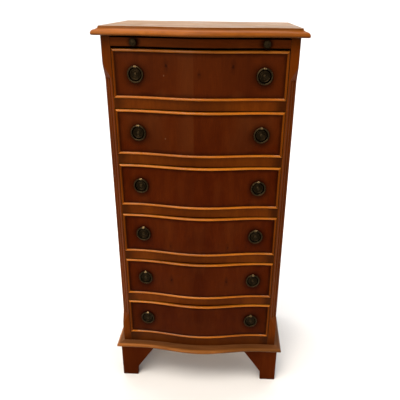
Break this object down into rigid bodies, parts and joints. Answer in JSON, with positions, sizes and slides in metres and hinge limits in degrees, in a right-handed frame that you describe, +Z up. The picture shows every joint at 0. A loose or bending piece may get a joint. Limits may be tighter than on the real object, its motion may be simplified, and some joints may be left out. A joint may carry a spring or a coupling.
{
  "type": "serpentine semainier chest of drawers",
  "caption": "Tall narrow serpentine-fronted chest of drawers with a pull-out brushing slide, canted fluted corner posts, moulded top and base, bracket feet and swinging ring pulls",
  "frame": {"origin": "on the floor under the middle of the whole chest", "axes": "+X to the object's left-to-right as seen from the front, +Y to the back, +Z up; the drawers open along -Y"},
  "size_m": [0.51, 0.42, 1.03],
  "materials": {
    "yew_top": "satin polished yew veneer, sun-faded",
    "yew_front": "satin polished yew veneer, red-brown",
    "yew_side": "satin polished yew veneer",
    "yew_solid": "satin polished solid yew, mid-brown",
    "yew_dark": "satin polished solid yew, dark red-brown",
    "drawer_wood": "plain planed lining wood",
    "board_wood": "plain unpolished board",
    "aged_brass": "dark aged brass, rubbed bright on the high spots"
  },
  "bodies": {
    "carcass": {"top_board": "yew_top", "side_panel_left": "yew_side", "corner_post_left": "yew_solid", "base_moulding_left": "yew_solid", "foot_front_left": "yew_dark", "foot_back_left": "yew_dark", "side_panel_right": "yew_side", "corner_post_right": "yew_solid", "base_moulding_right": "yew_solid", "foot_front_right": "yew_dark", "foot_back_right": "yew_dark", "base_moulding_front": "yew_solid", "back_panel": "board_wood", "bottom_board": "yew_solid", "slide_bed": "board_wood", "drawer_divider_1": "yew_solid", "drawer_divider_2": "yew_solid", "drawer_divider_3": "yew_solid", "drawer_divider_4": "yew_solid", "drawer_divider_5": "yew_solid"},
    "slide": {"brushing_slide": "yew_front", "slide_knob_left": "aged_brass", "slide_knob_right": "aged_brass"},
    "drawer_1": {"drawer_front_1": "yew_front", "drawer_box_1": "drawer_wood", "pull_plate_1_left": "aged_brass", "pull_plate_1_right": "aged_brass"},
    "ring_1_left": {"pull_ring_1_left": "aged_brass"},
    "ring_1_right": {"pull_ring_1_right": "aged_brass"},
    "drawer_2": {"drawer_front_2": "yew_front", "drawer_box_2": "drawer_wood", "pull_plate_2_left": "aged_brass", "pull_plate_2_right": "aged_brass"},
    "ring_2_left": {"pull_ring_2_left": "aged_brass"},
    "ring_2_right": {"pull_ring_2_right": "aged_brass"},
    "drawer_3": {"drawer_front_3": "yew_front", "drawer_box_3": "drawer_wood", "pull_plate_3_left": "aged_brass", "pull_plate_3_right": "aged_brass"},
    "ring_3_left": {"pull_ring_3_left": "aged_brass"},
    "ring_3_right": {"pull_ring_3_right": "aged_brass"},
    "drawer_4": {"drawer_front_4": "yew_front", "drawer_box_4": "drawer_wood", "pull_plate_4_left": "aged_brass", "pull_plate_4_right": "aged_brass"},
    "ring_4_left": {"pull_ring_4_left": "aged_brass"},
    "ring_4_right": {"pull_ring_4_right": "aged_brass"},
    "drawer_5": {"drawer_front_5": "yew_front", "drawer_box_5": "drawer_wood", "pull_plate_5_left": "aged_brass", "pull_plate_5_right": "aged_brass"},
    "ring_5_left": {"pull_ring_5_left": "aged_brass"},
    "ring_5_right": {"pull_ring_5_right": "aged_brass"},
    "drawer_6": {"drawer_front_6": "yew_front", "drawer_box_6": "drawer_wood", "pull_plate_6_left": "aged_brass", "pull_plate_6_right": "aged_brass"},
    "ring_6_left": {"pull_ring_6_left": "aged_brass"},
    "ring_6_right": {"pull_ring_6_right": "aged_brass"}
  },
  "joints": [
    {"name": "slide_travel", "type": "slide", "parent": "carcass", "child": "slide", "axis": [0, -1, 0], "range_m": [0, 0.23]},
    {"name": "drawer_1_travel", "type": "slide", "parent": "carcass", "child": "drawer_1", "axis": [0, -1, 0], "range_m": [0, 0.25]},
    {"name": "ring_1_left_swing", "type": "hinge", "parent": "drawer_1", "child": "ring_1_left", "pos_m": [-0.15583, -0.1684, 0.94182], "axis": [-0.9964, 0.0847, 0], "range_deg": [0, 170]},
    {"name": "ring_1_right_swing", "type": "hinge", "parent": "drawer_1", "child": "ring_1_right", "pos_m": [0.15583, -0.1684, 0.94182], "axis": [-0.9964, -0.0847, 0], "range_deg": [0, 170]},
    {"name": "drawer_2_travel", "type": "slide", "parent": "carcass", "child": "drawer_2", "axis": [0, -1, 0], "range_m": [0, 0.25]},
    {"name": "ring_2_left_swing", "type": "hinge", "parent": "drawer_2", "child": "ring_2_left", "pos_m": [-0.15583, -0.1684, 0.80111], "axis": [-0.9964, 0.0847, 0], "range_deg": [0, 170]},
    {"name": "ring_2_right_swing", "type": "hinge", "parent": "drawer_2", "child": "ring_2_right", "pos_m": [0.15583, -0.1684, 0.80111], "axis": [-0.9964, -0.0847, 0], "range_deg": [0, 170]},
    {"name": "drawer_3_travel", "type": "slide", "parent": "carcass", "child": "drawer_3", "axis": [0, -1, 0], "range_m": [0, 0.25]},
    {"name": "ring_3_left_swing", "type": "hinge", "parent": "drawer_3", "child": "ring_3_left", "pos_m": [-0.15583, -0.1684, 0.66039], "axis": [-0.9964, 0.0847, 0], "range_deg": [0, 170]},
    {"name": "ring_3_right_swing", "type": "hinge", "parent": "drawer_3", "child": "ring_3_right", "pos_m": [0.15583, -0.1684, 0.66039], "axis": [-0.9964, -0.0847, 0], "range_deg": [0, 170]},
    {"name": "drawer_4_travel", "type": "slide", "parent": "carcass", "child": "drawer_4", "axis": [0, -1, 0], "range_m": [0, 0.25]},
    {"name": "ring_4_left_swing", "type": "hinge", "parent": "drawer_4", "child": "ring_4_left", "pos_m": [-0.15583, -0.1684, 0.51967], "axis": [-0.9964, 0.0847, 0], "range_deg": [0, 170]},
    {"name": "ring_4_right_swing", "type": "hinge", "parent": "drawer_4", "child": "ring_4_right", "pos_m": [0.15583, -0.1684, 0.51967], "axis": [-0.9964, -0.0847, 0], "range_deg": [0, 170]},
    {"name": "drawer_5_travel", "type": "slide", "parent": "carcass", "child": "drawer_5", "axis": [0, -1, 0], "range_m": [0, 0.25]},
    {"name": "ring_5_left_swing", "type": "hinge", "parent": "drawer_5", "child": "ring_5_left", "pos_m": [-0.15583, -0.1684, 0.37896], "axis": [-0.9964, 0.0847, 0], "range_deg": [0, 170]},
    {"name": "ring_5_right_swing", "type": "hinge", "parent": "drawer_5", "child": "ring_5_right", "pos_m": [0.15583, -0.1684, 0.37896], "axis": [-0.9964, -0.0847, 0], "range_deg": [0, 170]},
    {"name": "drawer_6_travel", "type": "slide", "parent": "carcass", "child": "drawer_6", "axis": [0, -1, 0], "range_m": [0, 0.25]},
    {"name": "ring_6_left_swing", "type": "hinge", "parent": "drawer_6", "child": "ring_6_left", "pos_m": [-0.15583, -0.1684, 0.23824], "axis": [-0.9964, 0.0847, 0], "range_deg": [0, 170]},
    {"name": "ring_6_right_swing", "type": "hinge", "parent": "drawer_6", "child": "ring_6_right", "pos_m": [0.15583, -0.1684, 0.23824], "axis": [-0.9964, -0.0847, 0], "range_deg": [0, 170]}
  ]
}
